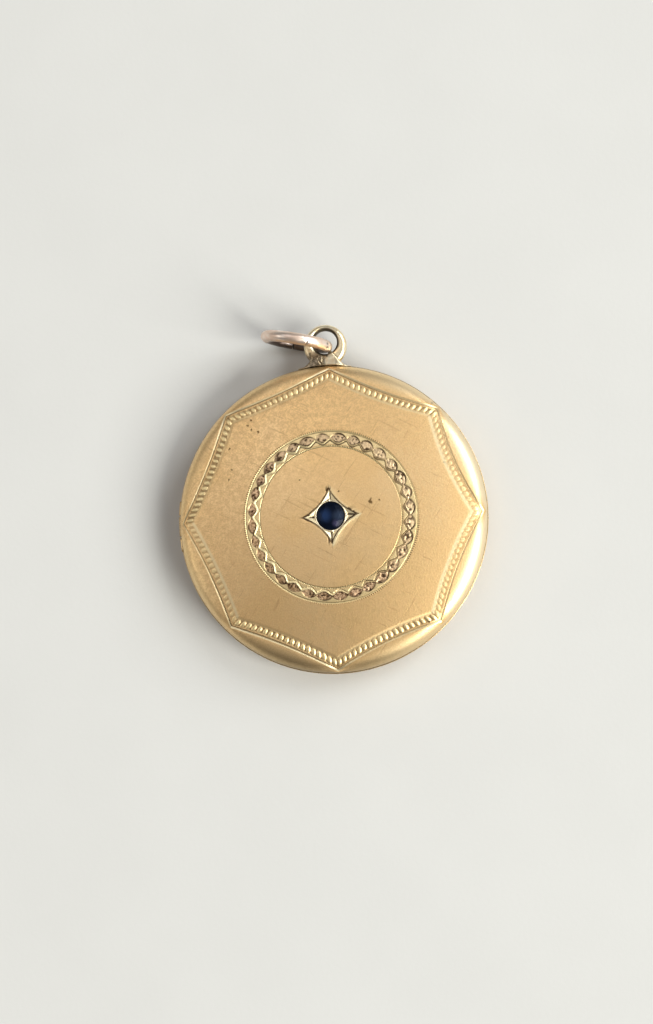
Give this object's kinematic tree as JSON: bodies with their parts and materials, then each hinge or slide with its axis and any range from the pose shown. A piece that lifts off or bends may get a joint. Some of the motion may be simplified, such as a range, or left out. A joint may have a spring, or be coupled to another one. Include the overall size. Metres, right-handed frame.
{
  "type": "round locket",
  "caption": "Round hinged locket with a gently domed engraved front, a small blue stone set in a star, a soldered bail and a jump ring.",
  "frame": {"origin": "centre of the flat of the back cover, on the surface it lies on", "axes": "+Y towards the bail, +X to the right seen from the front, +Z out of the engraved front"},
  "size_m": [0.03, 0.034, 0.007],
  "materials": {
    "case_gold": "polished, worn",
    "engraved_gold": "bloomed satin with bright cuts",
    "blue_stone": "polished facets",
    "pin_gold": "dull",
    "ring_gold": "polished, worn"
  },
  "bodies": {
    "back": {"back_cover": "case_gold", "hinge_pin": "pin_gold", "jump_ring": "ring_gold"},
    "cover": {"front_cover": "engraved_gold", "stone": "blue_stone"}
  },
  "joints": [
    {"name": "cover_hinge", "type": "hinge", "parent": "back", "child": "cover", "pos_m": [-0.01472, 0, 0.0025], "axis": [0, -1, 0], "range_deg": [0, 120]}
  ]
}
